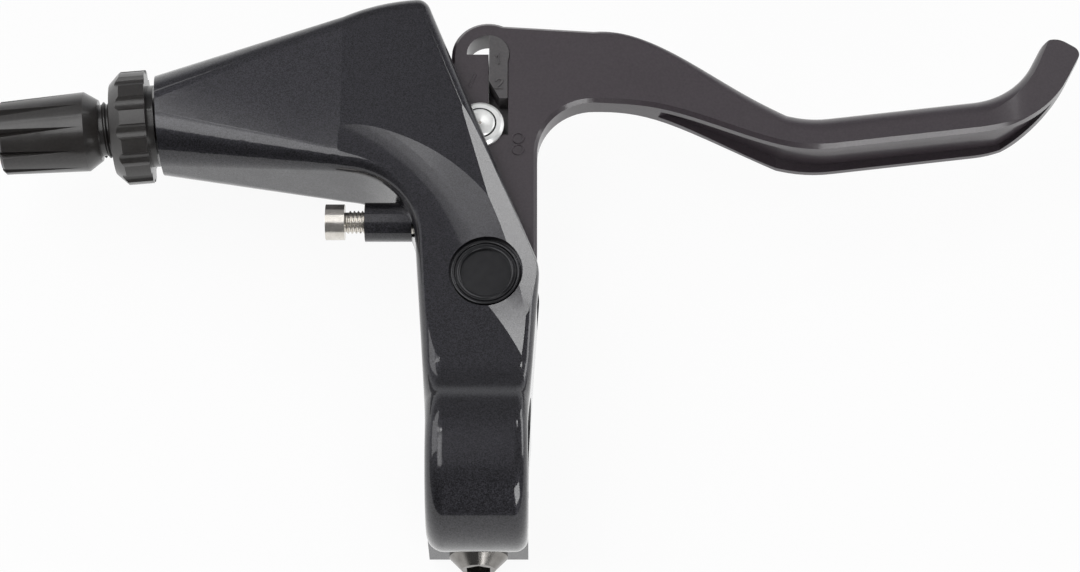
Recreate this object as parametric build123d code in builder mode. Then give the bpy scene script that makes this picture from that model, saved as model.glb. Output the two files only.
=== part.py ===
"""Flat-bar bicycle brake lever: clamp bracket, hinged blade, cable anchor and barrel adjuster.

Frame: origin at the centre of the handlebar bore, +X along the bar towards the grip,
+Y forward of the bar, +Z up. Millimetres.
"""
import os
from math import asin, cos, degrees, radians, sin, sqrt, tan

from build123d import *

os.makedirs("parts", exist_ok=True)

# Handlebar clamp
bar_d = 22.2
clamp_wall = 3.7
clamp_width = 17.0
slit_width = 2.2
lug_skirt = 5.5
lug_front_step = 0.6
lug_bevel = 2.0

# Clamp bolt
bolt_r = 3.0
bolt_head_r = 5.0
bolt_head_tip_r = 2.9
bolt_head_height = 3.0
bolt_head_rim = 0.8
bolt_hex = 4.0
bolt_hex_depth = 2.2
bolt_cover = 1.4
bolt_tail = 1.5

# Bracket levels and edges
bracket_top = 10.0
bracket_bottom = -8.0
top_wall = 3.4
bottom_wall = 3.6
saddle_radius = 12.0
underside_radius = 6.0
outer_edge = 3.0
front_edge = 3.0
slant_edge = 2.2

# Bracket plan
neck_waist_y = 4.0
waist_radius = 60.0
inner_corner_x = -11.6
inner_corner_y = 49.3
inner_corner_radius = 13.0
front_corner_x = -9.6
front_corner_y = 84.0
front_bulge = 0.8
nose_root_x = -24.0
nose_root_front_y = 80.6
nose_root_rear_y = 50.9

# Flat facet beside the slanted edge
facet_width = 5.0
facet_tilt = 12.0
facet_inset = 3.0

# Scoop on the neck: cone below a crescent crease with a soft foot, and the slope down from the clamp
scoop_x = -37.6
scoop_y = 24.1
scoop_r = 44.0
scoop_slope = 8.5
scoop_depth = 1.0
scoop_foot_radius = 30.0
scoop_tilt = 2.3
neck_slope = 4.5

# Hollow of the bracket
pocket_left_x = -18.0
pocket_rear_y = 55.0
pocket_front_wall = 4.0
fork_gap = 0.7
fork_front_y = 47.0
fork_side_drop = 5.5

# Pivot
pivot_x = 1.3
pivot_y = 31.2
land_radius = 9.05
axle_r = 3.0
axle_head_r = 5.2
axle_head_height = 1.2
axle_head_sink = 1.1
axle_dish_r = 4.3
axle_dish_depth = 0.5
recess_r = 6.3
recess_depth = 1.9
axle_tail = 1.8
clip_thickness = 0.8
clip_r = 4.8
clip_groove_r = 2.4

# Clearances
running_clearance = 0.05
seat_clearance = 0.02
side_clearance = 0.3

# Bushes in the lever
bush_wall = 1.0
bush_flange = 0.8
bush_flange_rim = 1.2
bush_length = 3.6

# Nose and barrel adjuster
barrel_angle = 5.2
nose_end_x = -56.5
nose_end_y = 63.5
barrel_z = -1.0
nose_r = 8.4
nose_top_round = 7.2
nose_bore_depth = 16.0
cable_bore_r = 2.4
cable_slot = 2.2
adjuster_r = 5.0
adjuster_depth = 12.0
adjuster_thread_depth = 0.45
adjuster_travel = 5.0
knob_stand = 2.3
knob_neck_r = 5.4
knob_cone = 2.4
knob_base_r = 7.0
knob_length = 17.4
knob_tip_r = 6.4
knob_bevel = 0.5
knob_grooves = 10
groove_depth = 1.1
groove_width = 1.9
groove_margin = 0.5
housing_r = 3.0
housing_depth = 10.0
inner_wire_r = 1.2

# Lock ring
ring_gap = 0.5
ring_hub = 1.2
ring_hub_r = 7.2
ring_width = 6.4
ring_r = 10.0
ring_bevel = 2.0
ring_lobes = 12
lobe_groove_r = 1.7
lobe_groove_depth = 0.8

# Reach screw
reach_inset = 5.8
reach_z = 2.0
reach_r = 2.0
reach_thread_depth = 0.3
reach_head_r = 3.1
reach_head_length = 3.3
reach_hex = 3.0
reach_hex_depth = 1.8
reach_travel = 3.5
reach_boss_length = 8.1
reach_boss_r = 3.4

# Lever plate
lever_gap = 1.6
lever_thickness = 5.0
arm_right = 8.7
head_x = 1.4
head_y = 74.5
head_r = 6.4
blade_start_x = 20.0
blade_start_front_y = 79.3
blade_start_rear_y = 65.4
arm_corner_radius = 10.0
plate_edge = 0.6
boss_r = 6.2
boss_lower_r = 5.0
head_step = 0.4

# Mode slot and cable anchor
pocket_r = 3.8
slot_width = 3.5
slot_left_x = 1.45
anchor_x = 0.05
anchor_y = 60.6
anchor_shank_r = 1.7
anchor_drum_r = 4.3
anchor_drum_length = 6.4
anchor_flange_r = 4.15
anchor_flange_thickness = 1.0
anchor_lift = 0.15
nipple_r = 3.6
nipple_depth = 5.6
flange_chamfer = 0.5
insert_proud = 0.3
insert_lift = 0.8
insert_shoulder = 5.3
insert_length = 8.7
insert_foot_width = 1.4
insert_clearance = 0.12

# Return spring
spring_r = 6.2
spring_wire_r = 0.45
spring_wire_sides = 4
spring_turns = 1.5
spring_slack = 0.5
spring_leg = 9.0
post_r = 0.9
spring_lug_width = 1.8
spring_lug_length = 2.0

# Blade: root sections as rear point, front point, drop below the plate and front rounding,
# then a bar of one section along the corners of its rear edge
blade_root_sections = [
    ((28.5, 64.8), (30.9, 77.0), 0.6, 1.4),
    ((37.7, 62.4), (42.0, 70.6), 2.9, 2.6),
    ((47.4, 58.8), (50.2, 65.7), 5.4, 3.4),
]
blade_heel = (52.2, 57.3)
blade_knee = (57.4, 56.06)
blade_bend = (98.15, 61.03)
blade_tip = (106.3, 76.4)
blade_knee_radius = 25.0
blade_bend_radius = 21.0
blade_width = 6.8
blade_drop = 7.1
blade_round = 3.8
blade_rear_edge = 0.7
tip_start_x = 92.0
tip_fall = 2.6
tip_top_round = 48.0
tip_thickness = 2.0
tip_rise_x = 102.5
tip_rise_round = 12.0
tip_flat_round = 8.0
tip_front_round = 3.6
tip_rear_round = 1.5

# Channel along the blade's rear side
channel_upper_rim = 2.0
channel_lower_rim = 1.8
channel_depth = 1.6
channel_start = (31.0, 64.2)
channel_inside = (33.4, 65.3)
channel_start_round = 1.5
channel_run = 13.0
channel_apex = (100.5, 1.5)
channel_mouth = 4.0

# Levels worked out from the sizes above
bar_r = bar_d / 2
clamp_r = bar_r + clamp_wall
clamp_half = clamp_width / 2
fork_top = bracket_top - top_wall
fork_bottom = bracket_bottom + bottom_wall
lever_top = fork_top - lever_gap
lever_bottom = lever_top - lever_thickness
boss_top = fork_top - side_clearance - bush_flange
boss_bottom = fork_bottom + side_clearance + bush_flange
bush_bore_r = axle_r + running_clearance
bush_r = bush_bore_r + bush_wall
fork_slot_r = arm_right + fork_gap
bolt_drop = bar_r + bolt_cover + bolt_r
lug_bottom = -bolt_drop - lug_skirt
lug_front = sqrt(clamp_r**2 - bracket_bottom**2) + lug_front_step
lug_rear = sqrt(clamp_r**2 - (bolt_drop - bolt_head_r) ** 2) + side_clearance
bolt_length = lug_rear + lug_front - bolt_tail
axle_seat = bracket_top - axle_head_sink - axle_head_height
clip_bottom = bracket_bottom - clip_thickness
spring_foot = fork_bottom + spring_slack + spring_wire_r
spring_top = lever_bottom - spring_slack - spring_wire_r
ring_face = ring_gap + ring_hub + ring_width
thread_start = ring_face - adjuster_travel - side_clearance
knob_start = ring_face + knob_stand
knob_shoulder = knob_start + knob_cone
knob_end = knob_start + knob_length
groove_runout = knob_end - knob_shoulder - groove_margin
reach_y = inner_corner_y - reach_inset
reach_boss_x = inner_corner_x - reach_boss_length
reach_head_x = reach_boss_x - reach_travel - reach_head_length
arm_slope = asin((arm_right - head_r) / (head_y - pivot_y))
arm_left_x = pivot_x - arm_right / cos(arm_slope) + (reach_y - reach_r - pivot_y) * tan(arm_slope)
reach_tip_x = arm_left_x - side_clearance
slot_foot_y = anchor_y - anchor_shank_r - running_clearance
drum_bottom = lever_bottom - anchor_lift - anchor_drum_length
flange_bottom = lever_top + anchor_lift
insert_left_x = slot_left_x + insert_clearance
insert_right_x = slot_left_x + slot_width - insert_clearance
insert_shoulder_y = head_y - insert_shoulder
insert_foot_y = head_y - insert_length
open_side_x = pivot_x + 2 * land_radius
blade_bottom = lever_bottom - blade_drop
blade_height = lever_top - blade_bottom
tip_end_x = blade_tip[0] + tip_rear_round
tip_bottom = lever_top - tip_fall - tip_thickness

# Places and axes
pivot = (pivot_x, pivot_y)
barrel_out = Vector(-cos(radians(barrel_angle)), -sin(radians(barrel_angle)), 0)
nose_end = Vector(nose_end_x, nose_end_y, barrel_z)
barrel_axis = Axis(nose_end, barrel_out)
barrel_side = Plane(origin=nose_end, x_dir=barrel_out, z_dir=(0, 0, 1))
nose_plane = Plane(origin=nose_end, x_dir=(0, 0, 1), z_dir=barrel_out)
knob_plane = nose_plane.offset(knob_end)
front_corner = Vector(front_corner_x, front_corner_y)
bolt_plane = Plane(origin=(0, -lug_rear, -bolt_drop), z_dir=(0, 1, 0))
bolt_side = Plane(origin=bolt_plane.origin, x_dir=(0, 1, 0), z_dir=(1, 0, 0))
reach_plane = Plane(origin=(reach_head_x, reach_y, reach_z), z_dir=(1, 0, 0))
heel_way = (Vector(*blade_knee) - Vector(*blade_heel)).normalized()
mid_way = (Vector(*blade_bend) - Vector(*blade_knee)).normalized()
tip_way = (Vector(*blade_tip) - Vector(*blade_bend)).normalized()
blade_heel_front = Vector(*blade_heel) + heel_way.rotate(Axis.Z, 90) * blade_width
knee_forward = (heel_way + mid_way).normalized().rotate(Axis.Z, 90)
bend_forward = (mid_way + tip_way).normalized().rotate(Axis.Z, 90)
channel_knee = Vector(*blade_knee) + knee_forward * channel_depth
channel_bend = Vector(*blade_bend) + bend_forward * channel_depth
channel_end = Vector(*blade_bend) + tip_way * channel_run
tip_plane = Plane(origin=(*blade_tip, blade_bottom), x_dir=tip_way, z_dir=(0, 0, 1))
spring_lug = (
    pivot_x + spring_r - spring_wire_r - side_clearance,
    pivot_y + spring_r + spring_wire_r + 2 * side_clearance,
)
spring_post = (pivot_x - spring_r + spring_wire_r + side_clearance + post_r, pivot_y + spring_leg)


def land_touch(point, side):
    """Touching point on the pivot's round land of a line from a plan point.

    Side 1 is the touching point on the left of the line's way, side -1 the one on its right.
    """
    to_pivot = Vector(*pivot) - Vector(*point)
    swing = degrees(asin(land_radius / to_pivot.length))
    along = sqrt(to_pivot.length**2 - land_radius**2)
    return Vector(*point) + to_pivot.normalized().rotate(Axis.Z, side * swing) * along


scoop_middle = (scoop_x, scoop_y, bracket_top - scoop_x * tan(radians(scoop_tilt)))
scoop_up = (sin(radians(scoop_tilt)), 0, cos(radians(scoop_tilt)))
scoop_side = (cos(radians(scoop_tilt)), 0, -sin(radians(scoop_tilt)))
scoop_foot = (scoop_r - scoop_depth / tan(radians(scoop_slope)), -scoop_depth)
scoop_brim = (scoop_r + clamp_r, clamp_r * tan(radians(scoop_slope)))
neck_up = (0, sin(radians(neck_slope)), cos(radians(neck_slope)))
neck_top = (0, sqrt((clamp_r + saddle_radius) ** 2 - (bracket_top + saddle_radius) ** 2), bracket_top)
neck_plane = Plane(origin=neck_top, x_dir=(1, 0, 0), z_dir=neck_up)
saddle_end_plane = Plane(origin=neck_top, x_dir=(1, 0, 0), z_dir=(0, 1, 0))
slant_end = land_touch(front_corner, 1)
slant_dir = (slant_end - front_corner).normalized()
slant_right = Vector(-slant_dir.Y, slant_dir.X)
neck_right = (clamp_half, neck_waist_y)
facet_start = front_corner + slant_dir * facet_inset
facet_stop = slant_end - slant_right * facet_width
facet_dir = (facet_stop - facet_start).normalized()
facet_side = Vector(-facet_dir.Y, facet_dir.X)
facet_up = Vector(0, 0, cos(radians(facet_tilt))) + facet_side * sin(radians(facet_tilt))
facet_plane = Plane(origin=(facet_start.X, facet_start.Y, bracket_top), x_dir=facet_dir, z_dir=facet_up)


def nearest(sketch, point):
    """Corner of a sketch closest to a point."""
    return sketch.vertices().sort_by_distance(point)[0]


def rims(piece, chosen):
    """Upper and lower edges of the upright walls that a test picks, down to the clamp bolt."""
    walls = piece.faces().filter_by(lambda face: abs(face.normal_at().Z) < 0.01)
    edges = walls.filter_by(chosen).edges().filter_by(Axis.Z, reverse=True)
    return edges.filter_by(lambda edge: edge.center().Z > -bolt_drop)


def blade_section(rear, front, drop, front_round):
    """Upright section across the blade, with a rounded front and a nearly square rear."""
    across = Vector(*front) - Vector(*rear)
    upright = Plane(origin=rear, x_dir=across, z_dir=across.cross(Vector(0, 0, 1)))
    with BuildSketch(upright, mode=Mode.PRIVATE) as section:
        with Locations((0, lever_bottom - drop)):
            Rectangle(across.length, lever_thickness + drop, align=(Align.MIN, Align.MIN))
        fillet(section.vertices().group_by(Axis.X)[-1], front_round)
        chamfer(section.vertices().group_by(Axis.X)[0], blade_rear_edge)
    return section.sketch.face()


heel_section = blade_section(blade_heel, blade_heel_front, blade_drop, blade_round)

# Tool for the scoop: the space above a shallow tilted dish, ended by the neck's slope
with BuildPart() as scoop:
    with BuildSketch(Plane(origin=scoop_middle, x_dir=(0, 1, 0), z_dir=scoop_side)):
        with BuildLine():
            FilletPolyline((0, -scoop_depth), scoop_foot, scoop_brim, radius=scoop_foot_radius)
            Polyline(scoop_brim, (0, scoop_brim[1]), (0, -scoop_depth))
        make_face()
    revolve(axis=Axis(scoop_middle, scoop_up))
    split(bisect_by=neck_plane, keep=Keep.TOP)
    split(bisect_by=saddle_end_plane, keep=Keep.TOP)

# Bracket: plan cut to the side profile, nose lofted from its left end
with BuildPart() as bracket:
    with BuildSketch(Plane.XY.offset(lug_bottom)) as plan:
        with BuildLine():
            Polyline(
                (nose_root_x, nose_root_front_y),
                (nose_root_x, nose_root_rear_y),
                (inner_corner_x, inner_corner_y),
                (-clamp_half, neck_waist_y),
                (-clamp_half, -clamp_r),
                (clamp_half, -clamp_r),
                neck_right,
                land_touch(neck_right, -1),
                slant_end,
                front_corner,
            )
            ThreePointArc(
                front_corner,
                (
                    (front_corner_x + nose_root_x) / 2,
                    (front_corner_y + nose_root_front_y) / 2 + front_bulge,
                ),
                (nose_root_x, nose_root_front_y),
            )
        make_face()
        with Locations(pivot):
            Circle(land_radius)
        fillet(nearest(plan, (inner_corner_x, inner_corner_y)), inner_corner_radius)
        fillet(nearest(plan, (-clamp_half, neck_waist_y)), waist_radius)
        fillet(nearest(plan, (clamp_half, neck_waist_y)), waist_radius)
    extrude(amount=clamp_r - lug_bottom)
    with BuildSketch(Plane.YZ) as side_profile:
        Circle(clamp_r)
        with Locations((0, bracket_bottom)):
            Rectangle(front_corner_y * 2, bracket_top - bracket_bottom, align=(Align.MIN, Align.MIN))
        with Locations((-lug_rear, lug_bottom)):
            Rectangle(lug_rear + lug_front, -lug_bottom, align=(Align.MIN, Align.MIN))
        fillet(nearest(side_profile, (sqrt(clamp_r**2 - bracket_top**2), bracket_top)), saddle_radius)
        fillet(nearest(side_profile, (lug_front, bracket_bottom)), underside_radius)
        chamfer(side_profile.vertices().group_by(Axis.Y)[0], lug_bevel)
    extrude(amount=-nose_root_x * 2, both=True, mode=Mode.INTERSECT)
    fillet(rims(bracket, lambda face: face.normal_at().Y > 0.9 and face.center().Y > pivot_y), front_edge)
    fillet(rims(bracket, lambda face: face.normal_at().X > 0.2), slant_edge)
    fillet(rims(bracket, lambda face: -0.99 < face.normal_at().X < -0.05), outer_edge)
    # Flat facet that runs out at the front corner
    with BuildSketch(facet_plane):
        Rectangle(front_corner_y, land_radius * 2, align=(Align.MIN, Align.MIN))
    extrude(amount=clamp_r, mode=Mode.SUBTRACT)
    # Nose, rounder on top towards its end
    nose_root = bracket.faces().sort_by(Axis.X)[0]
    with BuildSketch(nose_plane, mode=Mode.PRIVATE) as nose_tip:
        Rectangle(2 * nose_r, 2 * nose_r)
        fillet(nose_tip.vertices().group_by(Axis.Z)[-1], nose_top_round)
        fillet(nose_tip.vertices().group_by(Axis.Z)[0], outer_edge)
    loft([nose_root, nose_tip.sketch.face()], ruled=True)
    # Scooped neck
    add(scoop.part, mode=Mode.SUBTRACT)
    # Boss of the reach screw
    with BuildSketch(Plane(origin=(reach_boss_x, reach_y, reach_z), z_dir=(1, 0, 0))):
        Circle(reach_boss_r)
    extrude(amount=inner_corner_x - reach_boss_x)
    # Hollow for the lever arm and cable, open at the slanted side and below
    with BuildSketch(Plane.XY.offset(lug_bottom)):
        with BuildLine():
            Polyline(
                (pocket_left_x, pocket_rear_y),
                (pocket_left_x, nose_root_front_y - pocket_front_wall),
                (front_corner_x, front_corner_y - pocket_front_wall),
                (open_side_x, front_corner_y - pocket_front_wall),
                (open_side_x, fork_front_y),
                (pivot_x - fork_slot_r, fork_front_y),
                close=True,
            )
        make_face()
    extrude(amount=fork_top - lug_bottom, mode=Mode.SUBTRACT)
    with BuildSketch(Plane.XY.offset(fork_bottom)):
        with Locations(pivot):
            Circle(fork_slot_r)
            Rectangle(fork_slot_r * 2, fork_front_y - pivot_y, align=(Align.CENTER, Align.MIN))
            Rectangle(open_side_x - pivot_x, fork_side_drop, align=(Align.MIN, Align.MAX))
    extrude(amount=fork_top - fork_bottom, mode=Mode.SUBTRACT)
    # Post that the fixed leg of the spring bears on
    with BuildSketch(Plane.XY.offset(fork_bottom)):
        with Locations(spring_post):
            Circle(post_r)
    extrude(amount=lever_bottom - side_clearance - fork_bottom)
    # Bar bore, slit and bolt hole
    with BuildSketch(Plane.YZ):
        Circle(bar_r)
        Rectangle(slit_width, -lug_bottom * 2, align=(Align.CENTER, Align.MAX))
    extrude(amount=clamp_width, both=True, mode=Mode.SUBTRACT)
    with BuildSketch(bolt_plane):
        Circle(bolt_r + seat_clearance)
    extrude(amount=lug_rear + lug_front, mode=Mode.SUBTRACT)
    # Pivot hole and recess for the axle's head
    with BuildSketch(Plane.XY.offset(bracket_top - recess_depth)):
        with Locations(pivot):
            Circle(recess_r)
    extrude(amount=recess_depth, mode=Mode.SUBTRACT)
    with BuildSketch(Plane.XY.offset(bracket_bottom)):
        with Locations(pivot):
            Circle(axle_r + seat_clearance)
    extrude(amount=bracket_top - bracket_bottom, mode=Mode.SUBTRACT)
    with BuildSketch(Plane.XY.offset(axle_seat)):
        with Locations(pivot):
            Circle(axle_head_r + seat_clearance)
    extrude(amount=bracket_top - axle_seat, mode=Mode.SUBTRACT)
    # Adjuster hole, cable bore and the slot that lets the cable in from below
    with BuildSketch(nose_plane):
        Circle(adjuster_r + running_clearance)
    extrude(amount=-nose_bore_depth, mode=Mode.SUBTRACT)
    with BuildSketch(nose_plane):
        Circle(cable_bore_r)
        Rectangle(-lug_bottom, cable_slot, align=(Align.MAX, Align.CENTER))
    extrude(amount=(nose_end_x - pocket_left_x) / cos(radians(barrel_angle)), mode=Mode.SUBTRACT)
    # Reach screw hole
    with BuildSketch(Plane(origin=(reach_boss_x, reach_y, reach_z), z_dir=(1, 0, 0))):
        Circle(reach_r + running_clearance)
    extrude(amount=pivot_x - reach_boss_x, mode=Mode.SUBTRACT)

# Clamp bolt: button head at the rear, hex socket
with BuildPart() as clamp_bolt:
    with BuildSketch(bolt_side):
        with BuildLine():
            Polyline(
                (0, bolt_head_r),
                (0, bolt_r),
                (bolt_length, bolt_r),
                (bolt_length, 0),
                (-bolt_head_height, 0),
                (-bolt_head_height, bolt_head_tip_r),
                (-bolt_head_rim, bolt_head_r),
                close=True,
            )
        make_face()
    revolve(axis=Axis(bolt_plane.origin, (0, 1, 0)))
    with BuildSketch(bolt_plane.offset(-bolt_head_height)):
        RegularPolygon(bolt_hex / 2, 6, major_radius=False)
    extrude(amount=bolt_hex_depth, mode=Mode.SUBTRACT)

# Pivot axle: dished head in the recess, groove for the clip at its foot
with BuildPart() as pivot_axle:
    with BuildSketch(Plane.XY.offset(bracket_bottom - axle_tail)):
        with Locations(pivot):
            Circle(axle_r)
    extrude(amount=axle_seat - bracket_bottom + axle_tail)
    with BuildSketch(Plane.XY.offset(axle_seat)):
        with Locations(pivot):
            Circle(axle_head_r)
    extrude(amount=axle_head_height)
    with BuildSketch(Plane.XY.offset(axle_seat + axle_head_height - axle_dish_depth)):
        with Locations(pivot):
            Circle(axle_dish_r)
    extrude(amount=axle_dish_depth, mode=Mode.SUBTRACT)
    with BuildSketch(Plane.XY.offset(clip_bottom)):
        with Locations(pivot):
            Circle(axle_r)
            Circle(clip_groove_r, mode=Mode.SUBTRACT)
    extrude(amount=clip_thickness, mode=Mode.SUBTRACT)

# Retaining clip, open on one side
with BuildPart() as axle_clip:
    with BuildSketch(Plane.XY.offset(clip_bottom + seat_clearance)):
        with Locations(pivot):
            Circle(clip_r)
            Circle(clip_groove_r + seat_clearance, mode=Mode.SUBTRACT)
            Rectangle(2 * clip_r, 2 * clip_groove_r, align=(Align.MIN, Align.CENTER), mode=Mode.SUBTRACT)
    extrude(amount=clip_thickness - 2 * seat_clearance)

# Flanged bushes at the top and foot of the lever's boss
with BuildPart() as upper_bush:
    with BuildSketch(Plane.XY.offset(boss_top)):
        with Locations(pivot):
            Circle(bush_r + bush_flange_rim)
    extrude(amount=bush_flange)
    with BuildSketch(Plane.XY.offset(boss_top - bush_length)):
        with Locations(pivot):
            Circle(bush_r)
    extrude(amount=bush_length)
    with BuildSketch(Plane.XY.offset(boss_top - bush_length)):
        with Locations(pivot):
            Circle(bush_bore_r)
    extrude(amount=bush_length + bush_flange, mode=Mode.SUBTRACT)

with BuildPart() as lower_bush:
    with BuildSketch(Plane.XY.offset(boss_bottom - bush_flange)):
        with Locations(pivot):
            Circle(bush_r + bush_flange_rim)
    extrude(amount=bush_flange)
    with BuildSketch(Plane.XY.offset(boss_bottom)):
        with Locations(pivot):
            Circle(bush_r)
    extrude(amount=bush_length)
    with BuildSketch(Plane.XY.offset(boss_bottom - bush_flange)):
        with Locations(pivot):
            Circle(bush_bore_r)
    extrude(amount=bush_length + bush_flange, mode=Mode.SUBTRACT)

# Return spring: coil round the lever's boss, one leg on the bracket's post, one on the lever's lug
with BuildPart() as return_spring:
    with BuildLine():
        coil = Helix(
            pitch=(spring_top - spring_foot) / spring_turns,
            height=spring_top - spring_foot,
            radius=spring_r,
            center=(pivot_x, pivot_y, spring_foot),
            lefthand=True,
        )
        lever_leg = Line((coil @ 0) - (coil % 0) * spring_leg, coil @ 0)
        Line(coil @ 1, (coil @ 1) + (coil % 1) * spring_leg)
    with BuildSketch(Plane(origin=lever_leg @ 0, z_dir=lever_leg % 0)):
        RegularPolygon(spring_wire_r, spring_wire_sides)
    sweep()

# Barrel adjuster: threaded stem, tapered knob with wedge grooves, seat for the cable housing
with BuildPart() as knob_groove:
    with BuildSketch(knob_plane):
        with BuildLine():
            Polyline(
                (knob_tip_r - groove_depth, 0),
                (knob_base_r + groove_depth, groove_width),
                (knob_base_r + groove_depth, -groove_width),
                close=True,
            )
        make_face()
    groove_rise = Vector(0, 0, groove_depth + knob_base_r - knob_tip_r) / groove_runout
    extrude(amount=groove_runout + groove_width, dir=groove_rise - barrel_out)

with BuildPart() as barrel_adjuster:
    with BuildSketch(barrel_side):
        with BuildLine():
            Polyline(
                (-adjuster_depth, 0),
                (-adjuster_depth, adjuster_r),
                (thread_start, adjuster_r),
                (thread_start, adjuster_r - adjuster_thread_depth),
                (knob_start, adjuster_r - adjuster_thread_depth),
                (knob_start, knob_neck_r),
                (knob_shoulder, knob_base_r),
                (knob_end, knob_tip_r),
                (knob_end, 0),
                close=True,
            )
        make_face()
    revolve(axis=barrel_axis)
    chamfer(barrel_adjuster.edges().group_by(Axis.X)[0], knob_bevel)
    for step in range(knob_grooves):
        add(knob_groove.part.rotate(barrel_axis, (step + 0.5) * 360 / knob_grooves), mode=Mode.SUBTRACT)
    with BuildSketch(knob_plane):
        Circle(housing_r)
    extrude(amount=-housing_depth, mode=Mode.SUBTRACT)
    with BuildSketch(knob_plane):
        Circle(inner_wire_r)
        Rectangle(knob_base_r * 2, cable_slot, align=(Align.MAX, Align.CENTER))
    extrude(amount=-knob_end - adjuster_depth, mode=Mode.SUBTRACT)

# Lock ring: twelve lobes, bevelled outer face, slot in line with the adjuster's
with BuildPart() as lock_ring:
    with BuildSketch(barrel_side):
        with BuildLine():
            Polyline(
                (ring_gap, adjuster_r + running_clearance),
                (ring_gap, ring_hub_r),
                (ring_gap + ring_hub, ring_hub_r),
                (ring_gap + ring_hub, ring_r),
                (ring_face - ring_bevel, ring_r),
                (ring_face, ring_r - ring_bevel),
                (ring_face, adjuster_r + running_clearance),
                close=True,
            )
        make_face()
    revolve(axis=barrel_axis)
    with BuildSketch(nose_plane):
        with PolarLocations(ring_r + lobe_groove_r - lobe_groove_depth, ring_lobes):
            Circle(lobe_groove_r)
        Rectangle(ring_r * 2, cable_slot, align=(Align.MAX, Align.CENTER))
    extrude(amount=ring_face, mode=Mode.SUBTRACT)

# Reach screw: socket head outside the boss, tip beside the lever arm
with BuildPart() as reach_screw:
    with BuildSketch(reach_plane):
        Circle(reach_head_r)
    extrude(amount=reach_head_length)
    with BuildSketch(reach_plane.offset(reach_head_length)):
        Circle(reach_r - reach_thread_depth)
    extrude(amount=2 * reach_travel)
    with BuildSketch(reach_plane.offset(reach_head_length + 2 * reach_travel)):
        Circle(reach_r)
    extrude(amount=reach_tip_x - reach_head_x - reach_head_length - 2 * reach_travel)
    with BuildSketch(reach_plane):
        RegularPolygon(reach_hex / 2, 6, major_radius=False)
    extrude(amount=reach_hex_depth, mode=Mode.SUBTRACT)

# Blade of the lever: one section swept along its rear edge, tip rounded and cut to its side profile
with BuildPart() as blade:
    with BuildLine() as blade_rear:
        FilletPolyline(
            blade_heel,
            blade_knee,
            blade_bend,
            blade_tip,
            radius=[blade_knee_radius, blade_bend_radius],
        )
    sweep(heel_section, path=blade_rear.wire())
    with BuildSketch(tip_plane):
        with Locations((-tip_front_round, blade_width - tip_front_round)):
            Rectangle(2 * tip_front_round, 2 * tip_front_round, align=(Align.MIN, Align.MIN))
            Circle(tip_front_round, mode=Mode.SUBTRACT)
        with Locations((-tip_rear_round, tip_rear_round)):
            Rectangle(2 * tip_rear_round, 2 * tip_rear_round, align=(Align.MIN, Align.MAX))
            Circle(tip_rear_round, mode=Mode.SUBTRACT)
    extrude(amount=blade_height, mode=Mode.SUBTRACT)
    with BuildSketch(Plane.XZ):
        with BuildLine():
            FilletPolyline(
                (blade_start_x, lever_top),
                (tip_start_x, lever_top),
                (tip_end_x, lever_top - tip_fall),
                radius=tip_top_round,
            )
            Line((tip_end_x, lever_top - tip_fall), (tip_end_x, tip_bottom))
            FilletPolyline(
                (tip_end_x, tip_bottom),
                (tip_rise_x, tip_bottom),
                (tip_start_x, blade_bottom),
                (blade_start_x, blade_bottom),
                radius=[tip_flat_round, tip_rise_round],
            )
            Line((blade_start_x, blade_bottom), (blade_start_x, lever_top))
        make_face()
    extrude(amount=-2 * front_corner_y, mode=Mode.INTERSECT)

# Tool for the channel along the blade's rear side, between its two rims
with BuildPart() as channel:
    with BuildSketch(Plane.XY.offset(blade_bottom)):
        with BuildLine():
            FilletPolyline(
                channel_start,
                channel_inside,
                channel_knee,
                channel_bend,
                channel_end,
                radius=[
                    channel_start_round,
                    blade_knee_radius - channel_depth,
                    blade_bend_radius - channel_depth,
                ],
            )
            Polyline(
                channel_end,
                (channel_end.X + channel_mouth, channel_end.Y - channel_mouth),
                (blade_bend[0] + channel_mouth, blade_bend[1] - channel_mouth),
                (blade_knee[0], blade_knee[1] - channel_mouth),
                (channel_start[0], blade_knee[1] - channel_mouth),
                channel_start,
            )
        make_face()
    extrude(amount=blade_height)
    with BuildSketch(Plane.XZ):
        with BuildLine():
            Polyline(
                (channel_start[0], lever_top - channel_upper_rim),
                (tip_start_x, lever_top - channel_upper_rim),
                channel_apex,
                (tip_start_x, blade_bottom + channel_lower_rim),
                (blade_heel[0], blade_bottom + channel_lower_rim),
                (channel_start[0], lever_bottom + channel_lower_rim / 2),
                close=True,
            )
        make_face()
    extrude(amount=-2 * front_corner_y, mode=Mode.INTERSECT)

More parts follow.
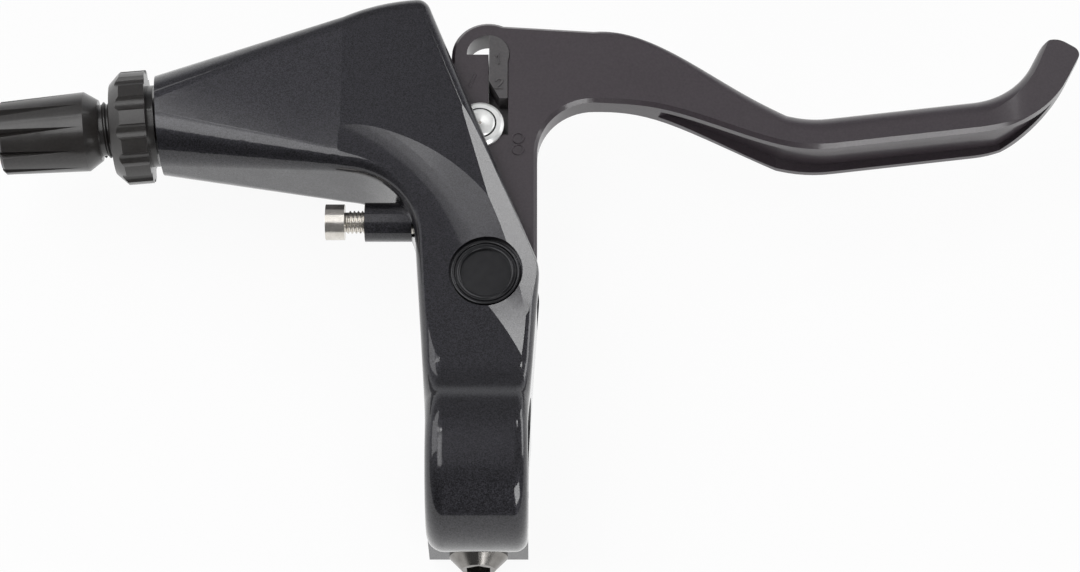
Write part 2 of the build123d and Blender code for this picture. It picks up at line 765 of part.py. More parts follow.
# Lever: plate arm with pivot boss and mode slot, lofted root, blade
with BuildPart() as lever:
    with BuildSketch(Plane.XY.offset(lever_bottom)) as arm:
        with Locations(pivot):
            Circle(arm_right)
        with Locations((head_x, head_y)):
            Circle(head_r)
        make_hull()
        with BuildLine():
            Polyline(
                pivot,
                (pivot_x + arm_right, pivot_y),
                (pivot_x + arm_right, blade_start_rear_y),
                (blade_start_x, blade_start_rear_y),
                (blade_start_x, blade_start_front_y),
                (head_x, head_y + head_r - head_step),
                close=True,
            )
        make_face()
        fillet(nearest(arm, (pivot_x + arm_right, blade_start_rear_y)), arm_corner_radius)
    extrude(amount=lever_thickness)
    chamfer(rims(lever, lambda face: face.center().X < blade_start_x - plate_edge), plate_edge)
    root = lever.faces().sort_by(Axis.X)[-1]
    loft([root] + [blade_section(*station) for station in blade_root_sections] + [heel_section])
    add(blade.part)
    add(channel.part, mode=Mode.SUBTRACT)
    with BuildSketch(Plane.XY.offset(boss_bottom)):
        with Locations(pivot):
            Circle(boss_lower_r)
    extrude(amount=lever_top - boss_bottom)
    with BuildSketch(Plane.XY.offset(lever_top)):
        with Locations(pivot):
            Circle(boss_r)
    extrude(amount=boss_top - lever_top)
    with BuildSketch(Plane.XY.offset(boss_bottom)):
        with Locations(pivot):
            Circle(bush_r + seat_clearance)
    extrude(amount=boss_top - boss_bottom, mode=Mode.SUBTRACT)
    # Lug that the moving leg of the spring pushes
    with BuildSketch(Plane.XY.offset(boss_bottom)):
        with Locations(spring_lug):
            Rectangle(spring_lug_width, spring_lug_length, align=(Align.MAX, Align.MIN))
    extrude(amount=lever_bottom - boss_bottom)
    # Mode slot: two pockets joined by a straight channel
    with BuildSketch(Plane.XY.offset(lever_bottom)):
        with Locations((head_x, head_y)):
            Circle(pocket_r)
        with Locations((slot_left_x, head_y)):
            Rectangle(2 * pocket_r, 2 * pocket_r, align=(Align.MAX, Align.MAX), mode=Mode.SUBTRACT)
        with Locations((slot_left_x, slot_foot_y)):
            Rectangle(slot_width, head_y - slot_foot_y, align=(Align.MIN, Align.MIN))
        with Locations((anchor_x, anchor_y)):
            Circle(anchor_shank_r + running_clearance)
            Rectangle(
                slot_left_x - anchor_x + slot_width / 2,
                2 * (anchor_shank_r + running_clearance),
                align=(Align.MIN, Align.CENTER),
            )
    extrude(amount=lever_thickness, mode=Mode.SUBTRACT)

# Cable anchor: drum below the plate with a seat for the cable's end, shank through the slot
with BuildPart() as cable_anchor:
    with BuildSketch(Plane.XY.offset(drum_bottom)):
        with Locations((anchor_x, anchor_y)):
            Circle(anchor_drum_r)
    extrude(amount=anchor_drum_length)
    with BuildSketch(Plane.XY.offset(drum_bottom + anchor_drum_length)):
        with Locations((anchor_x, anchor_y)):
            Circle(anchor_shank_r)
    extrude(amount=flange_bottom + anchor_flange_thickness - drum_bottom - anchor_drum_length)
    with BuildSketch(Plane.XY.offset(drum_bottom)):
        with Locations((anchor_x, anchor_y)):
            Circle(nipple_r)
            Rectangle(2 * anchor_drum_r, cable_slot, align=(Align.MAX, Align.CENTER))
    extrude(amount=nipple_depth, mode=Mode.SUBTRACT)

# Flange riveted on the anchor's shank above the plate
with BuildPart() as anchor_flange:
    with BuildSketch(Plane.XY.offset(flange_bottom)):
        with Locations((anchor_x, anchor_y)):
            Circle(anchor_flange_r)
            Circle(anchor_shank_r + seat_clearance, mode=Mode.SUBTRACT)
    extrude(amount=anchor_flange_thickness)
    chamfer(anchor_flange.edges().group_by(Axis.Z)[-1].sort_by(SortBy.RADIUS)[-1], flange_chamfer)

# Mode insert: plug that closes the channel between the two pockets
with BuildPart() as mode_insert:
    with BuildSketch(Plane.XY.offset(lever_bottom + insert_lift)):
        with Locations((head_x, head_y)):
            Circle(pocket_r - insert_clearance)
        with BuildLine():
            Polyline(
                (insert_left_x, head_y),
                (insert_left_x, insert_shoulder_y),
                (insert_right_x - insert_foot_width, insert_foot_y),
                (insert_right_x, insert_foot_y),
                (insert_right_x, head_y),
                close=True,
            )
        make_face()
        with Locations((insert_left_x, head_y)):
            Rectangle(2 * pocket_r, 4 * pocket_r, align=(Align.MAX, Align.CENTER), mode=Mode.SUBTRACT)
    extrude(amount=lever_thickness - insert_lift + insert_proud)

bracket.part.label = "bracket"
clamp_bolt.part.label = "clamp_bolt"
pivot_axle.part.label = "pivot_axle"
axle_clip.part.label = "axle_clip"
upper_bush.part.label = "upper_bush"
lower_bush.part.label = "lower_bush"
return_spring.part.label = "return_spring"
barrel_adjuster.part.label = "barrel_adjuster"
lock_ring.part.label = "lock_ring"
reach_screw.part.label = "reach_screw"
lever.part.label = "lever"
cable_anchor.part.label = "cable_anchor"
anchor_flange.part.label = "anchor_flange"
mode_insert.part.label = "mode_insert"
export_step(bracket.part, "parts/bracket.step")
export_step(clamp_bolt.part, "parts/clamp_bolt.step")
export_step(pivot_axle.part, "parts/pivot_axle.step")
export_step(axle_clip.part, "parts/axle_clip.step")
export_step(upper_bush.part, "parts/upper_bush.step")
export_step(lower_bush.part, "parts/lower_bush.step")
export_step(return_spring.part, "parts/return_spring.step")
export_step(barrel_adjuster.part, "parts/barrel_adjuster.step")
export_step(lock_ring.part, "parts/lock_ring.step")
export_step(reach_screw.part, "parts/reach_screw.step")
export_step(lever.part, "parts/lever.step")
export_step(cable_anchor.part, "parts/cable_anchor.step")
export_step(anchor_flange.part, "parts/anchor_flange.step")
export_step(mode_insert.part, "parts/mode_insert.step")
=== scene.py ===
import math

import bmesh
import bpy
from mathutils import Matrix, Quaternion, Vector


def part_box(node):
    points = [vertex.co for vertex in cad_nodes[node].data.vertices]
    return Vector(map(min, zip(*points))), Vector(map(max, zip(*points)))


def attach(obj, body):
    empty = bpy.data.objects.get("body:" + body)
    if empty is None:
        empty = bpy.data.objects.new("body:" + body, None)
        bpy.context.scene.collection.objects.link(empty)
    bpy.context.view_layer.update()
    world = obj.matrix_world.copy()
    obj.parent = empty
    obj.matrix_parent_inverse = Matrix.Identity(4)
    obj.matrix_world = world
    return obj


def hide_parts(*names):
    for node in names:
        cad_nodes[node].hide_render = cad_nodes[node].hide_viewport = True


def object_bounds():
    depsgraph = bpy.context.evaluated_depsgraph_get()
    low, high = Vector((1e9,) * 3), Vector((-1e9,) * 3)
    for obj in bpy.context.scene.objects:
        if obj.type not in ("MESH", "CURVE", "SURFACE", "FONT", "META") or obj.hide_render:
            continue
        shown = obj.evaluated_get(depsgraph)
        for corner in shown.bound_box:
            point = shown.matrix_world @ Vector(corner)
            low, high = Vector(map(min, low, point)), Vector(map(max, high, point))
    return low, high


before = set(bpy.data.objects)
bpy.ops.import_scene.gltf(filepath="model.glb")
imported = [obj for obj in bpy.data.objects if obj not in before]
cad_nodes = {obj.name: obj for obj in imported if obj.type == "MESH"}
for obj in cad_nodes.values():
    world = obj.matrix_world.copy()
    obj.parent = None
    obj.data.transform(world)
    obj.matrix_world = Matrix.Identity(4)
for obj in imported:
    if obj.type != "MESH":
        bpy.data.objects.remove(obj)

cad_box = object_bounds()
MM = 0.001
scene = bpy.context.scene

# Range that most values of a noise texture lie in
NOISE_LOW = 0.3
NOISE_HIGH = 0.7


# Helpers for node trees and materials
def new_node(tree, kind, values=None, **settings):
    """A new node in a tree, with some of its settings and input values given."""
    made = tree.nodes.new(kind)
    for key, value in settings.items():
        setattr(made, key, value)
    for key, value in (values or {}).items():
        made.inputs[key].default_value = value
    return made


class Shader:
    """One material with a Principled shader and short calls for its other nodes."""

    def __init__(self, name):
        self.material = bpy.data.materials.new(name)
        self.material.use_nodes = True
        self.tree = self.material.node_tree
        self.bsdf = self.tree.nodes["Principled BSDF"]
        self.place = self.node("ShaderNodeTexCoord").outputs["Object"]

    def node(self, kind, values=None, **settings):
        return new_node(self.tree, kind, values, **settings)

    def link(self, output, socket):
        self.tree.links.new(output, socket)

    def feed(self, output, name):
        """Drive one input of the Principled shader."""
        self.link(output, self.bsdf.inputs[name])

    def set(self, **values):
        for key, value in values.items():
            self.bsdf.inputs[key.replace("_", " ")].default_value = value

    def noise(self, scale, detail=2.0):
        made = self.node("ShaderNodeTexNoise", {"Scale": scale, "Detail": detail, "Roughness": 0.5})
        self.link(self.place, made.inputs["Vector"])
        return made.outputs["Fac"]

    def cells(self, scale):
        made = self.node("ShaderNodeTexVoronoi", {"Scale": scale})
        self.link(self.place, made.inputs["Vector"])
        return made.outputs["Color"]

    def spread(self, value, low, high):
        """A noise's usual range stretched from low to high."""
        limits = {"From Min": NOISE_LOW, "From Max": NOISE_HIGH, "To Min": low, "To Max": high}
        made = self.node("ShaderNodeMapRange", limits)
        self.link(value, made.inputs["Value"])
        return made.outputs["Result"]

    def ramp(self, value, low, high, from_low=NOISE_LOW, from_high=NOISE_HIGH):
        made = self.node("ShaderNodeValToRGB")
        made.color_ramp.elements[0].position = from_low
        made.color_ramp.elements[0].color = (*low, 1)
        made.color_ramp.elements[1].position = from_high
        made.color_ramp.elements[1].color = (*high, 1)
        self.link(value, made.inputs["Fac"])
        return made.outputs["Color"]

    def bump(self, height, distance, strength=1.0):
        made = self.node("ShaderNodeBump", {"Strength": strength, "Distance": distance})
        self.link(height, made.inputs["Height"])
        return made.outputs["Normal"]


def bracket_paint():
    """Gloss metallic dark grey: flakes of slightly differing tilt and shade below a clear coat."""
    flake_scale = 6500
    flake_tilt = 0.13
    dark_flake = (0.010, 0.0097, 0.0118)
    light_flake = (0.044, 0.043, 0.051)
    sheen_scale = 260
    peel_scale = 420
    peel_depth = 0.000006
    peel_strength = 0.5
    paint = Shader("bracket_paint")
    flakes = paint.cells(flake_scale)
    apart = paint.node("ShaderNodeSeparateColor")
    paint.link(flakes, apart.inputs["Color"])
    paint.feed(paint.ramp(apart.outputs["Red"], dark_flake, light_flake, 0.0, 1.0), "Base Color")
    centred = paint.node("ShaderNodeVectorMath", {1: (0.5, 0.5, 0.5)}, operation="SUBTRACT")
    paint.link(flakes, centred.inputs[0])
    small = paint.node("ShaderNodeVectorMath", {"Scale": flake_tilt}, operation="SCALE")
    paint.link(centred.outputs["Vector"], small.inputs["Vector"])
    geometry = paint.node("ShaderNodeNewGeometry")
    tilted = paint.node("ShaderNodeVectorMath", operation="ADD")
    paint.link(geometry.outputs["Normal"], tilted.inputs[0])
    paint.link(small.outputs["Vector"], tilted.inputs[1])
    unit = paint.node("ShaderNodeVectorMath", operation="NORMALIZE")
    paint.link(tilted.outputs["Vector"], unit.inputs[0])
    paint.feed(unit.outputs["Vector"], "Normal")
    paint.feed(paint.spread(paint.noise(sheen_scale), 0.42, 0.5), "Roughness")
    peel = paint.bump(paint.noise(peel_scale, 1.0), peel_depth, peel_strength)
    paint.feed(peel, "Coat Normal")
    paint.set(Metallic=0.85, Coat_Weight=1.0, Coat_Roughness=0.08, Coat_IOR=1.5)
    return paint.material


def satin(name, low, high, rough, grain, depth, gloss=0.0):
    """Satin finish with a fine grain, slow changes of sheen and a share of gloss on top."""
    mottle_scale = grain * 0.35
    sheen_scale = 180
    coat = Shader(name)
    coat.feed(coat.ramp(coat.noise(mottle_scale, 3.0), low, high), "Base Color")
    coat.feed(coat.spread(coat.noise(sheen_scale, 3.0), rough - 0.04, rough + 0.05), "Roughness")
    coat.feed(coat.bump(coat.noise(grain), depth), "Normal")
    coat.set(Coat_Weight=gloss, Coat_Roughness=0.14)
    return coat.material


def metal(name, low, high, rough, metallic):
    """Plated or turned metal: faint mottling in its colour and gloss."""
    mottle_scale = 700
    sheen_scale = 500
    grain_scale = 2600
    grain_depth = 0.000001
    steel = Shader(name)
    steel.feed(steel.ramp(steel.noise(mottle_scale, 3.0), low, high), "Base Color")
    steel.feed(steel.spread(steel.noise(sheen_scale), rough - 0.02, rough + 0.03), "Roughness")
    steel.feed(steel.bump(steel.noise(grain_scale), grain_depth), "Normal")
    steel.set(Metallic=metallic)
    return steel.material


finishes = {
    "bracket_paint": bracket_paint(),
    "lever_coat": satin(
        "lever_coat",
        low=(0.036, 0.0278, 0.0334),
        high=(0.048, 0.0374, 0.0444),
        rough=0.42,
        grain=7000,
        depth=0.00001,
        gloss=0.6,
    ),
    "bright_steel": metal(
        "bright_steel", low=(0.66, 0.63, 0.58), high=(0.78, 0.75, 0.70), rough=0.23, metallic=0.95
    ),
    "bolt_steel": metal(
        "bolt_steel", low=(0.22, 0.21, 0.20), high=(0.30, 0.29, 0.275), rough=0.25, metallic=1.0
    ),
    "flange_nickel": metal(
        "flange_nickel", low=(0.84, 0.845, 0.83), high=(0.9, 0.905, 0.89), rough=0.34, metallic=0.45
    ),
    "black_steel": metal(
        "black_steel", low=(0.026, 0.026, 0.028), high=(0.032, 0.032, 0.034), rough=0.22, metallic=0.5
    ),
    "bush_plastic": satin(
        "bush_plastic",
        low=(0.05, 0.05, 0.05),
        high=(0.07, 0.07, 0.069),
        rough=0.5,
        grain=5000,
        depth=0.00001,
    ),
    "adjuster_plastic": satin(
        "adjuster_plastic",
        low=(0.016, 0.0142, 0.0132),
        high=(0.024, 0.0215, 0.020),
        rough=0.34,
        grain=6000,
        depth=0.000012,
        gloss=0.45,
    ),
    "insert_plastic": satin(
        "insert_plastic",
        low=(0.072, 0.068, 0.07),
        high=(0.092, 0.087, 0.089),
        rough=0.45,
        grain=6000,
        depth=0.00001,
    ),
}
node_finish = {
    "bracket": "bracket_paint",
    "clamp_bolt": "bolt_steel",
    "pivot_axle": "black_steel",
    "axle_clip": "black_steel",
    "upper_bush": "bush_plastic",
    "lower_bush": "bush_plastic",
    "return_spring": "bright_steel",
    "lever": "lever_coat",
    "cable_anchor": "bright_steel",
    "anchor_flange": "flange_nickel",
    "mode_insert": "insert_plastic",
    "barrel_adjuster": "adjuster_plastic",
    "lock_ring": "adjuster_plastic",
    "reach_screw": "bright_steel",
}
for node_name, finish in node_finish.items():
    mesh = cad_nodes[node_name].data
    mesh.materials.clear()
    mesh.materials.append(finishes[finish])


# Helpers for the scene's own pieces; points are in millimetres in the shared frame
def new_piece(name, points, faces, body, slot, sharp=30.0, finish=None):
    """A mesh piece that rides on a body, with a material slot and that slot's finish or another."""
    mesh = bpy.data.meshes.new(name)
    mesh.from_pydata([tuple(MM * value for value in point) for point in points], [], faces)
    edited = bmesh.new()
    edited.from_mesh(mesh)
    bmesh.ops.recalc_face_normals(edited, faces=edited.faces)
    edited.to_mesh(mesh)
    edited.free()
    mesh.shade_smooth()
    mesh.set_sharp_from_angle(angle=math.radians(sharp))
    mesh.materials.append(finishes[finish or slot])
    piece = bpy.data.objects.new(name, mesh)
    scene.collection.objects.link(piece)
    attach(piece, body)
    return piece


def strip_faces(first, rows, columns):
    """Faces of a closed strip of rows, each a ring of columns points, with its two ends capped."""
    faces = []
    for row in range(rows - 1):
        for column in range(columns):
            a = first + row * columns + column
            b = first + row * columns + (column + 1) % columns
            faces.append((a, b, b + columns, a + columns))
    faces.append(tuple(first + column for column in range(columns)))
    faces.append(tuple(first + (rows - 1) * columns + column for column in range(columns)))
    return faces


def thread_ridge(start, axis, length, pitch, root, crest, gap=0.0, steps=48):
    """Points and faces of a screw thread's ridge, open over a gap of degrees below the axis."""
    root_half = 0.44
    crest_half = 0.09
    foot = root - 0.08
    end_share = 0.45
    axis = Vector(axis)
    up = Vector((0, 0, 1))
    side = axis.cross(up)
    profile = [(-root_half, foot), (-crest_half, crest), (crest_half, crest), (root_half, foot)]
    points = []
    faces = []
    for turn in range(math.ceil(length / pitch)):
        first = len(points)
        rows = 0
        for step in range(steps + 1):
            angle = math.radians(-180 + gap + step * (360 - 2 * gap) / steps)
            along = pitch * (turn + 0.5 + angle / (2 * math.pi))
            if not end_share * pitch < along < length - end_share * pitch:
                continue
            rows += 1
            outwards = up * math.cos(angle) + side * math.sin(angle)
            for shift, radius in profile:
                points.append(Vector(start) + axis * (along + shift * pitch) + outwards * radius)
        if rows > 1:
            faces += strip_faces(first, rows, len(profile))
        else:
            del points[first:]
    return points, faces


def wire(path, radius, sides=12):
    """Points and faces of a round wire along a path of points."""
    points = []
    normal = (path[1] - path[0]).orthogonal()
    for index, place in enumerate(path):
        way = (path[min(index + 1, len(path) - 1)] - path[max(index - 1, 0)]).normalized()
        normal = (normal - way * normal.dot(way)).normalized()
        other = way.cross(normal)
        for side in range(sides):
            angle = 2 * math.pi * side / sides
            points.append(place + radius * (math.cos(angle) * normal + math.sin(angle) * other))
    return points, strip_faces(0, len(path), sides)


def raised_line(line, width, low, high, slope=0.12):
    """Points and faces of a mitred flat line with sloping sides, from a low level to a high one."""
    half = width / 2
    points = []
    for index, place in enumerate(line):
        here = Vector(place)
        ways = []
        if index > 0:
            ways.append((here - Vector(line[index - 1])).normalized())
        if index < len(line) - 1:
            ways.append((Vector(line[index + 1]) - here).normalized())
        mean_way = sum(ways, Vector((0.0, 0.0))).normalized()
        across = Vector((-mean_way.y, mean_way.x)) / max(0.5, mean_way.dot(ways[0]))
        for shift, level in ((half, low), (half - slope, high), (slope - half, high), (-half, low)):
            spot = here + across * shift
            points.append((spot.x, spot.y, level))
    return points, strip_faces(0, len(line), 4)


def turned_ring(centre, profile, sides=48):
    """Points and faces of a ring about an upright axis, with a closed profile of radius and level."""
    points = []
    faces = []
    count = len(profile)
    for side in range(sides):
        angle = 2 * math.pi * side / sides
        for radius, level in profile:
            x = centre[0] + radius * math.cos(angle)
            y = centre[1] + radius * math.sin(angle)
            points.append((x, y, level))
        here = side * count
        ahead = (side + 1) % sides * count
        for corner in range(count):
            after = (corner + 1) % count
            faces.append((here + corner, here + after, ahead + after, ahead + corner))
    return points, faces


def prism(outline, low, high):
    """Points and faces of a flat piece with the given outline, between two levels."""
    count = len(outline)
    points = [(x, y, z) for z in (low, high) for x, y in outline]
    faces = [tuple(reversed(range(count))), tuple(range(count, 2 * count))]
    for index in range(count):
        after = (index + 1) % count
        faces.append((index, after, count + after, count + index))
    return points, faces


def node_corners(name):
    """Lowest and highest corner of a CAD node in millimetres."""
    low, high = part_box(name)
    return Vector(low) / MM, Vector(high) / MM


# Depth that trim and marks reach into the surface below them
sunk = 0.05

# Thread of the barrel adjuster, open along its cable slot
barrel_angle = math.radians(5.2)
barrel_out = Vector((-math.cos(barrel_angle), -math.sin(barrel_angle), 0.0))
nose_end = Vector((-56.5, 63.5, -1.0))
adjuster_thread_from = 2.8
adjuster_thread_to = 10.4
new_piece(
    "adjuster_thread",
    *thread_ridge(
        nose_end + barrel_out * adjuster_thread_from,
        barrel_out,
        adjuster_thread_to - adjuster_thread_from,
        pitch=1.0,
        root=4.55,
        crest=4.98,
        gap=18.0,
    ),
    "adjuster_body",
    "adjuster_plastic",
)

# Thread of the reach screw
reach_low, reach_high = node_corners("reach_screw")
reach_middle = (reach_low + reach_high) / 2
reach_head_length = 3.3
reach_thread_length = 7.0
new_piece(
    "reach_thread",
    *thread_ridge(
        (reach_low.x + reach_head_length, reach_middle.y, reach_middle.z),
        (1, 0, 0),
        reach_thread_length,
        pitch=0.7,
        root=1.7,
        crest=1.98,
        steps=32,
    ),
    "reach_screw_body",
    "bright_steel",
)

# Return spring of round wire in place of the plain swept one
pivot = Vector((1.3, 31.2, 0.0))
spring_r = 6.2
spring_wire_r = 0.45
spring_foot = -3.45
spring_top = -0.95
spring_turns = 1.5
spring_leg = 9.0
coil = []
coil_steps = 72
for step in range(coil_steps + 1):
    share = step / coil_steps
    angle = -2 * math.pi * spring_turns * share
    level = spring_foot + (spring_top - spring_foot) * share
    coil.append(pivot + Vector((spring_r * math.cos(angle), spring_r * math.sin(angle), level)))
lever_leg_end = coil[0] + (coil[0] - coil[1]).normalized() * spring_leg
post_leg_end = coil[-1] + (coil[-1] - coil[-2]).normalized() * spring_leg
spring = new_piece(
    "spring_wire",
    *wire([lever_leg_end] + coil + [post_leg_end], spring_wire_r),
    "bracket_body",
    "bright_steel",
    sharp=60.0,
)
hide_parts("return_spring")

# Turned rim on the axle's head and the collar round it in the recess
axle_top = node_corners("pivot_axle")[1].z
rim_height = 0.14
rim_half = 0.28
rim_steps = 6
axle_head_depth = 1.2
for rim_name, rim_r, rim_depth in (
    ("axle_rim", 4.64, sunk),
    ("axle_collar", 5.65, axle_head_depth + sunk),
):
    rim_profile = [(rim_r - rim_half, axle_top - rim_depth), (rim_r + rim_half, axle_top - rim_depth)]
    for step in range(rim_steps + 1):
        angle = math.pi * step / rim_steps
        rim_profile.append((rim_r + rim_half * math.cos(angle), axle_top + rim_height * math.sin(angle)))
    new_piece(rim_name, *turned_ring(pivot.xy, rim_profile), "bracket_body", "black_steel", sharp=60.0)

# Riveted centre of the anchor's flange, and a dark ring round it: painted shade at the rivet's step
flange_low, flange_high = node_corners("anchor_flange")
flange_middle = (flange_low + flange_high) / 2
rivet_r = 2.6
rivet_dimple_r = 0.3
rivet_height = 0.32
rivet_edge = 0.2
new_piece(
    "anchor_rivet",
    *turned_ring(
        flange_middle,
        [
            (rivet_dimple_r, flange_high.z - sunk),
            (rivet_r, flange_high.z - sunk),
            (rivet_r, flange_high.z + rivet_height - rivet_edge),
            (rivet_r - rivet_edge, flange_high.z + rivet_height),
            (3 * rivet_dimple_r, flange_high.z + rivet_height),
            (rivet_dimple_r, flange_high.z + rivet_height - rivet_edge),
        ],
    ),
    "anchor_body",
    "bright_steel",
    finish="flange_nickel",
)
# Thin dark ring laid flat round the rivet's foot, painted shade where the step meets the flange
shade_ring_width = 0.28
shade_ring_height = 0.03
new_piece(
    "anchor_step_painted_shade",
    *turned_ring(
        flange_middle,
        [
            (rivet_r - sunk, flange_high.z - sunk),
            (rivet_r + shade_ring_width, flange_high.z - sunk),
            (rivet_r + shade_ring_width, flange_high.z + shade_ring_height),
            (rivet_r - sunk, flange_high.z + shade_ring_height),
        ],
    ),
    "anchor_body",
    "black_steel",
)

# Foot of the mode insert, which closes the lower part of the slot
insert_low, insert_high = node_corners("mode_insert")
foot_depth = 0.7
foot_outline = [
    (1.47, 76.8),
    (1.47, 64.4),
    (2.9, 63.2),
    (2.9, 59.0),
    (4.9, 59.0),
    (4.9, 76.8),
]
new_piece(
    "insert_foot",
    *prism(foot_outline, insert_low.z - foot_depth, insert_low.z + sunk),
    "lever_body",
    "insert_plastic",
)

# Plain numerals on the mode insert for its two cable positions
figure_width = 0.46
figure_height = 0.24
figure_one = [(-0.4, 0.5), (0.1, 0.95), (0.1, -0.95)]
figure_two = [
    (-0.55, 0.45),
    (-0.4, 0.8),
    (0.0, 0.95),
    (0.4, 0.8),
    (0.55, 0.45),
    (0.4, 0.1),
    (-0.55, -0.9),
    (0.65, -0.9),
]
for figure_name, figure, place in (
    ("numeral_one", figure_one, Vector((3.2, 73.4))),
    ("numeral_two", figure_two, Vector((3.35, 68.6))),
):
    figure_line = [Vector(point) + place for point in figure]
    new_piece(
        figure_name,
        *raised_line(figure_line, figure_width, insert_high.z - sunk, insert_high.z + figure_height),
        "lever_body",
        "insert_plastic",
    )

# Raised index line beside the slot, and two bare mould rings on the arm
plate_top = 5.0
mark_height = 0.22
index_width = 0.5
index_line = [(-0.72, 70.66), (-1.75, 68.12)]
new_piece(
    "index_line",
    *raised_line(index_line, index_width, plate_top - sunk, plate_top + mark_height),
    "lever_body",
    "lever_coat",
)
mould_ring_profile = [
    (1.15, plate_top - sunk),
    (1.05, plate_top + mark_height),
    (0.85, plate_top + mark_height),
    (0.75, plate_top - sunk),
]
for ring_name, ring_place in (("mould_ring_front", (6.7, 58.2)), ("mould_ring_rear", (6.7, 56.0))):
    new_piece(ring_name, *turned_ring(ring_place, mould_ring_profile), "lever_body", "lever_coat")

# Floor just below the part
floor_mesh = bpy.data.meshes.new("floor")
floor_reach = 3.0
floor_gap = 0.0001
floor_z = cad_box[0][2] - floor_gap
floor_mesh.from_pydata(
    [
        (-floor_reach, -floor_reach, floor_z),
        (floor_reach, -floor_reach, floor_z),
        (floor_reach, floor_reach, floor_z),
        (-floor_reach, floor_reach, floor_z),
    ],
    [],
    [(0, 1, 2, 3)],
)
floor = bpy.data.objects.new("floor", floor_mesh)
scene.collection.objects.link(floor)


def seen_rays(tree):
    """One where a ray comes from the camera, a mirror or glass, else zero."""
    path = new_node(tree, "ShaderNodeLightPath")
    most = new_node(tree, "ShaderNodeMath", operation="MAXIMUM")
    tree.links.new(path.outputs["Is Camera Ray"], most.inputs[0])
    tree.links.new(path.outputs["Is Glossy Ray"], most.inputs[1])
    more = new_node(tree, "ShaderNodeMath", operation="MAXIMUM")
    tree.links.new(most.outputs["Value"], more.inputs[0])
    tree.links.new(path.outputs["Is Transmission Ray"], more.inputs[1])
    return more.outputs["Value"]


# Floor's material: nearly white to seen rays, the rest its own shading, and clear from below
white_share = 0.93
floor_paint = bpy.data.materials.new("floor_white")
floor_paint.use_nodes = True
tree = floor_paint.node_tree
tree.nodes.clear()
matte = new_node(tree, "ShaderNodeBsdfDiffuse", {"Color": (0.86, 0.86, 0.86, 1)})
glow = new_node(tree, "ShaderNodeEmission", {"Strength": 1.0})
kept_white = new_node(tree, "ShaderNodeMath", {1: white_share}, operation="MULTIPLY")
tree.links.new(seen_rays(tree), kept_white.inputs[0])
mixed = new_node(tree, "ShaderNodeMixShader")
tree.links.new(kept_white.outputs["Value"], mixed.inputs["Fac"])
tree.links.new(matte.outputs["BSDF"], mixed.inputs[1])
tree.links.new(glow.outputs["Emission"], mixed.inputs[2])
underside = new_node(tree, "ShaderNodeNewGeometry")
clear = new_node(tree, "ShaderNodeBsdfTransparent")
one_sided = new_node(tree, "ShaderNodeMixShader")
tree.links.new(underside.outputs["Backfacing"], one_sided.inputs["Fac"])
tree.links.new(mixed.outputs["Shader"], one_sided.inputs[1])
tree.links.new(clear.outputs["BSDF"], one_sided.inputs[2])
ending = new_node(tree, "ShaderNodeOutputMaterial")
tree.links.new(one_sided.outputs["Shader"], ending.inputs["Surface"])
floor_mesh.materials.append(floor_paint)

# World: a bright band along the rear horizon that darkens towards the top and the front
world = bpy.data.worlds.new("studio")
scene.world = world
world.use_nodes = True
tree = world.node_tree
tree.nodes.clear()
direction = new_node(tree, "ShaderNodeTexCoord")
height = new_node(tree, "ShaderNodeSeparateXYZ")
tree.links.new(direction.outputs["Generated"], height.inputs["Vector"])
band = new_node(tree, "ShaderNodeValToRGB")
band.color_ramp.interpolation = "EASE"
band.color_ramp.elements[0].position = 0.04
band.color_ramp.elements[0].color = (0.95, 0.96, 1.0, 1)
band.color_ramp.elements[1].position = 0.3
band.color_ramp.elements[1].color = (0.3, 0.3, 0.31, 1)
behind = new_node(
    tree,
    "ShaderNodeMapRange",
    {"From Min": -0.35, "From Max": 0.15, "To Min": 0.5, "To Max": 0.0},
    interpolation_type="SMOOTHSTEP",
)
tree.links.new(height.outputs["Y"], behind.inputs["Value"])
lifted = new_node(tree, "ShaderNodeMath", operation="ADD")
tree.links.new(height.outputs["Z"], lifted.inputs[0])
tree.links.new(behind.outputs["Result"], lifted.inputs[1])
tree.links.new(lifted.outputs["Value"], band.inputs["Fac"])
sky = new_node(tree, "ShaderNodeBackground")
tree.links.new(band.outputs["Color"], sky.inputs["Color"])
front_fall = new_node(
    tree,
    "ShaderNodeMapRange",
    {"From Min": -0.9, "From Max": -0.1, "To Min": 0.25, "To Max": 0.8},
    interpolation_type="SMOOTHSTEP",
)
tree.links.new(height.outputs["Y"], front_fall.inputs["Value"])
tree.links.new(front_fall.outputs["Result"], sky.inputs["Strength"])
backdrop = new_node(tree, "ShaderNodeBackground", {"Color": (1, 1, 1, 1)})
camera_path = new_node(tree, "ShaderNodeLightPath")
either = new_node(tree, "ShaderNodeMixShader")
tree.links.new(camera_path.outputs["Is Camera Ray"], either.inputs["Fac"])
tree.links.new(sky.outputs["Background"], either.inputs[1])
tree.links.new(backdrop.outputs["Background"], either.inputs[2])
ending = new_node(tree, "ShaderNodeOutputWorld")
tree.links.new(either.outputs["Shader"], ending.inputs["Surface"])


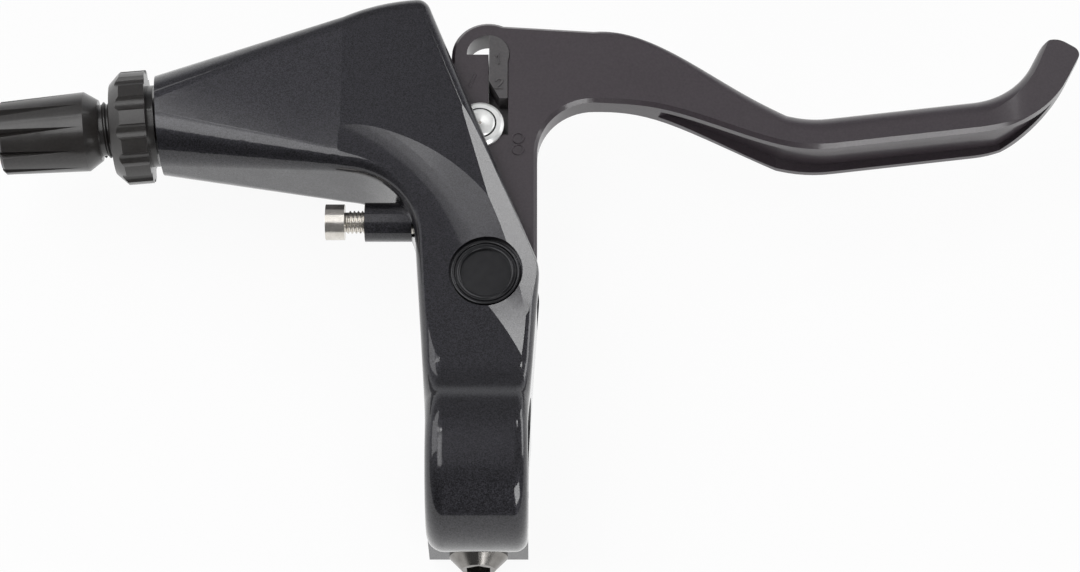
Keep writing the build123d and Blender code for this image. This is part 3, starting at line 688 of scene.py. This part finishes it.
def softbox(name, place, width, depth, power, turn=0.0, target=None):
    """A rectangular soft light aimed at a point or straight down, turned about its own axis."""
    lamp = bpy.data.lights.new(name, "AREA")
    lamp.shape = "RECTANGLE"
    lamp.size = width
    lamp.size_y = depth
    lamp.energy = power
    holder = bpy.data.objects.new(name, lamp)
    holder.location = place
    if target is None:
        target = (place[0], place[1], 0.0)
    aim = (Vector(target) - Vector(place)).to_track_quat("-Z", "Y")
    holder.rotation_euler = (aim @ Quaternion((0.0, 0.0, 1.0), math.radians(turn))).to_euler()
    scene.collection.objects.link(holder)


# Lights in metres and watts: layered boxes overhead, bands for the nose, and boxes at the sides
middle = Vector((0.0105, 0.0324, 0.0))
band_turn = -20.4
softbox("overhead_wide_box", (-0.327, 0.02, 1.0), 0.54, 0.85, 1.1)
softbox("overhead_middle_box", (-0.351, -0.014, 1.01), 0.49, 0.78, 0.9)
softbox("overhead_core_box", (-0.376, -0.049, 1.02), 0.44, 0.71, 1.25)
softbox("nose_band_box", (-0.496, 0.547, 1.0), 0.4, 0.14, 0.28, band_turn)
softbox("nose_band_soft_box", (-0.503, 0.528, 1.01), 0.4, 0.14, 0.28, band_turn)
softbox("right_wing_box", (-0.216, 0.44, 1.0), 0.12, 0.16, 0.45)
softbox("right_far_box", (0.75, 1.16, 1.6), 0.38, 0.3, 2.8, turn=57.0)
softbox("left_box", (-0.85, 0.36, 0.5), 1.05, 0.75, 4.6)
softbox("low_right_box", (1.0, 0.45, 0.32), 0.9, 0.32, 3.2, target=middle)
softbox("front_right_box", (0.37, -0.64, 0.35), 0.46, 0.3, 2.6, target=(0.08, 0.06, 0.0))

# Camera at the photograph's angle, distance and framing
camera_data = bpy.data.cameras.new("camera")
camera_data.sensor_width = 36.0
camera_data.sensor_fit = "HORIZONTAL"
camera_data.lens = 102.7
camera = bpy.data.objects.new("camera", camera_data)
elevation = math.radians(67.0)
distance = 0.53
camera.location = middle + distance * Vector((0.0, -math.cos(elevation), math.sin(elevation)))
camera.rotation_euler = (math.radians(90.0) - elevation, 0.0, 0.0)
scene.collection.objects.link(camera)
scene.camera = camera
scene.view_settings.view_transform = "Standard"
